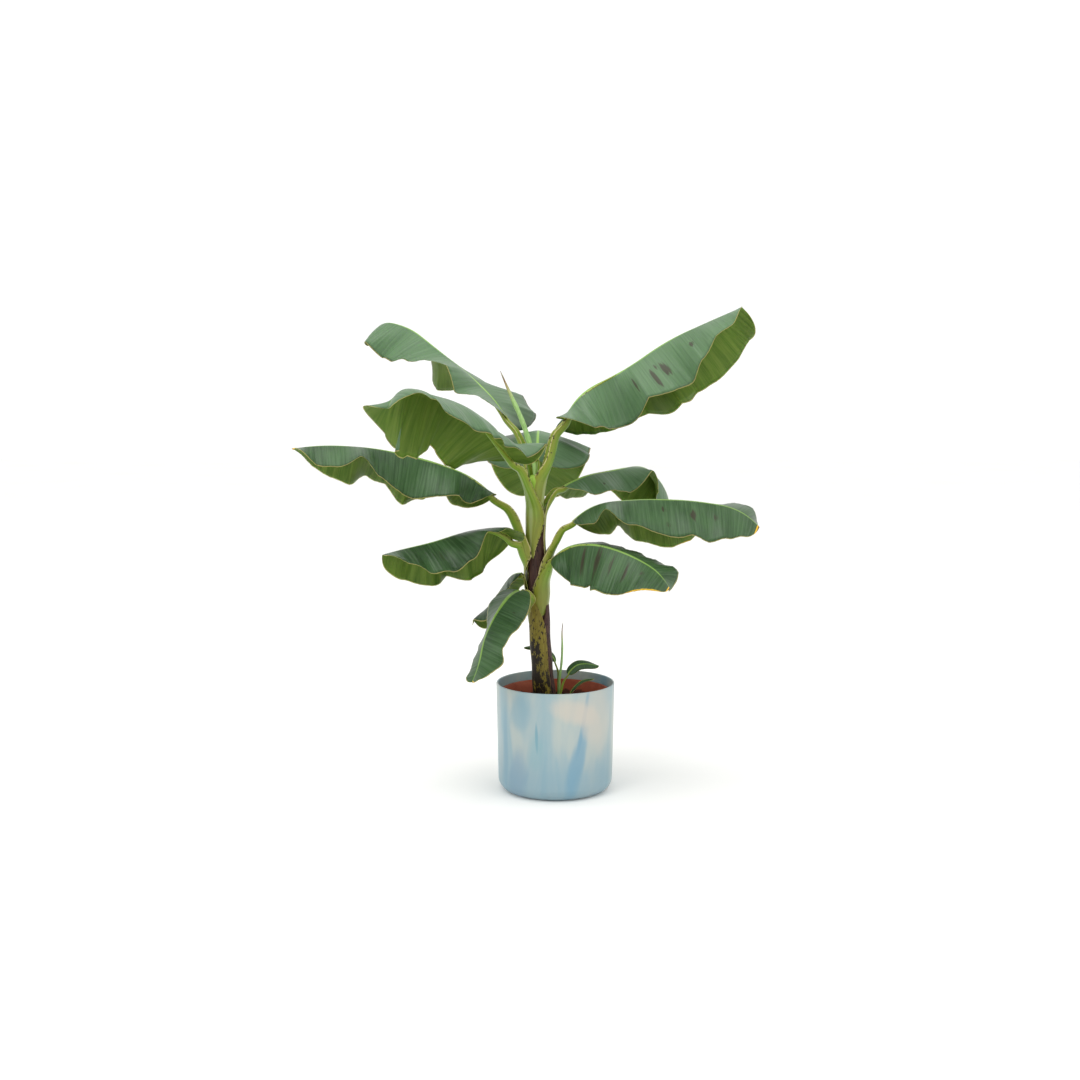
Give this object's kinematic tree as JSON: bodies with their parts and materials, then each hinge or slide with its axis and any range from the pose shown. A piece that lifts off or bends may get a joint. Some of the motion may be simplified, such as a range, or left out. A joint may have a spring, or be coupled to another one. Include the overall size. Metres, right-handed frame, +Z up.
{
  "type": "potted banana plant",
  "caption": "Young banana plant with a leaning false stem, long drooping leaves on curved stalks, a rolled new leaf and small shoots, in a round cover pot.",
  "frame": {"origin": "centre of the flat underside of the cover pot", "axes": "+Z up, +X to the right and +Y away from someone who looks at the plant's front"},
  "size_m": [0.84, 0.7033, 0.8965],
  "materials": {
    "cover_pot": "satin, softly marbled in pale blue and teal",
    "nursery_pot": "dull red-brown",
    "compost": "dark crumbly compost",
    "pseudostem": "green sheaths with dark blotches",
    "stalk": "smooth yellow-green",
    "blade": "soft sheen, fine parallel veins"
  },
  "bodies": {
    "root": {"cover_pot": "cover_pot", "nursery_pot": "nursery_pot", "compost": "compost", "pseudostem": "pseudostem", "stalk_top_right": "stalk", "stalk_top_left": "stalk", "stalk_upper_left": "stalk", "stalk_back": "stalk", "stalk_right_back": "stalk", "stalk_left": "stalk", "stalk_right": "stalk", "stalk_lower_left": "stalk", "stalk_lower_right": "stalk", "stalk_low_back": "stalk", "stalk_front": "stalk", "stalk_shoot_left": "stalk", "stalk_shoot_right": "stalk", "stalk_shoot_low": "stalk", "blade_top_right": "blade", "blade_top_left": "blade", "blade_upper_left": "blade", "blade_back": "blade", "blade_right_back": "blade", "blade_left": "blade", "blade_right": "blade", "blade_lower_left": "blade", "blade_lower_right": "blade", "blade_low_back": "blade", "blade_front": "blade", "blade_shoot_left": "blade", "blade_shoot_right": "blade", "blade_shoot_low": "blade", "furled_leaf": "stalk", "shoot_furled": "stalk"}
  },
  "joints": []
}
